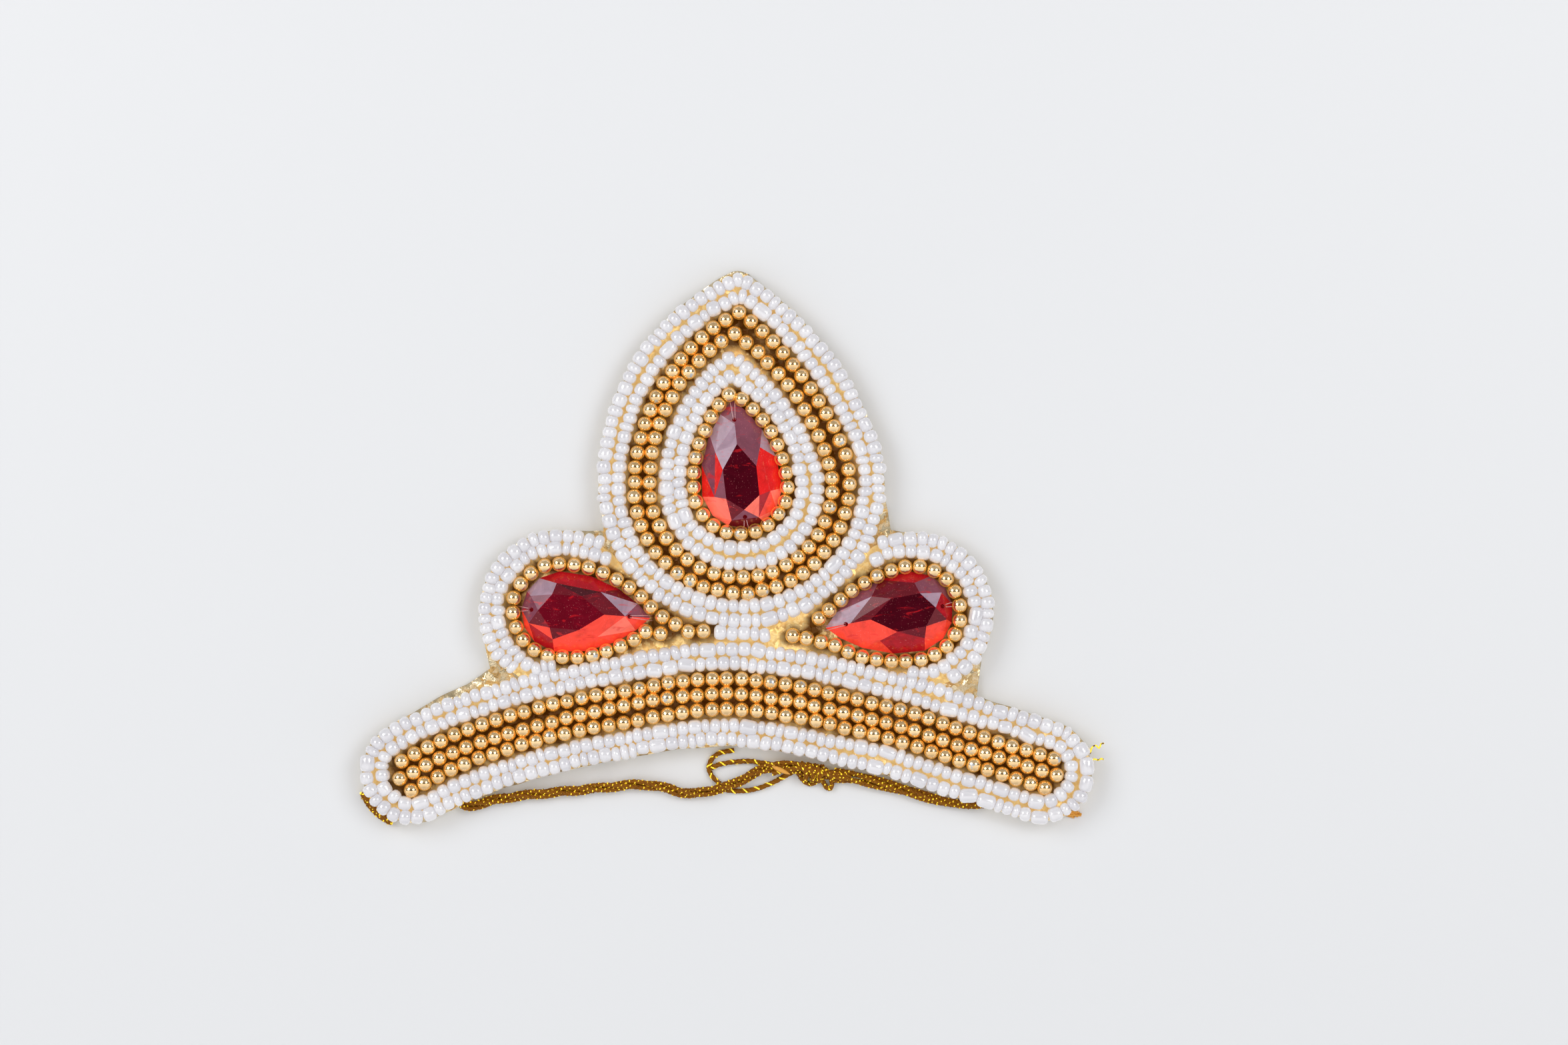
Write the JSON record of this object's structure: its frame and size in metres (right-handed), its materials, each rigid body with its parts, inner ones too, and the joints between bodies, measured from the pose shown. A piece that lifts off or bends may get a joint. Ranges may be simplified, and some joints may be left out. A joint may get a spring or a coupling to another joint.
{
  "type": "beaded tiara",
  "caption": "Flat beaded tiara: foil-wrapped board with a curved browband, a pointed crest and two round lobes, rows of gold and white beads, red drop stones and a loose gold tie cord",
  "frame": {"origin": "centre of the flat board's outline, on the surface that the tiara lies on; the loose tie cord is left out of this centre", "axes": "+X to the wearer's left arm of the band (the right one in the picture), +Y from the band to the crest's tip, +Z out of the beaded face; the tiara lies on its flat back"},
  "size_m": [0.1503, 0.1143, 0.0074],
  "materials": {
    "foil": "crinkled pale gold metallised foil over stiff card",
    "cloth": "pale gold woven cloth that shows between the beads",
    "gold": "bright gold-plated beads, worn grey at the holes",
    "pearl": "opaque white glass seed beads with a pearl lustre",
    "ruby": "faceted red, foil-backed, with clear sewing thread through its two holes",
    "cord": "twisted metallic gold cord, brown in the folds, frayed at its ends"
  },
  "bodies": {
    "root": {"backing_board": "foil", "face_cloth": "cloth", "stone_centre": "ruby", "stone_left": "ruby", "stone_right": "ruby", "bezel_centre": "gold", "bezel_left": "gold", "bezel_right": "gold", "crest_gold_inner": "gold", "crest_gold_outer": "gold", "crest_white_1": "pearl", "crest_white_2": "pearl", "crest_white_3": "pearl", "crest_white_4": "pearl", "band_gold_top": "gold", "band_gold_middle": "gold", "band_gold_bottom": "gold", "band_white_inner": "pearl", "band_white_outer": "pearl", "lobe_left_white_1": "pearl", "lobe_left_white_2": "pearl", "lobe_right_white_1": "pearl", "lobe_right_white_2": "pearl", "centre_fill": "pearl", "tie_cord_left": "cord", "tie_cord_right": "cord", "tie_loop": "cord", "tie_strand": "cord", "tie_tail": "cord", "tie_knot": "cord", "edge_wrap": "cord"}
  },
  "joints": []
}
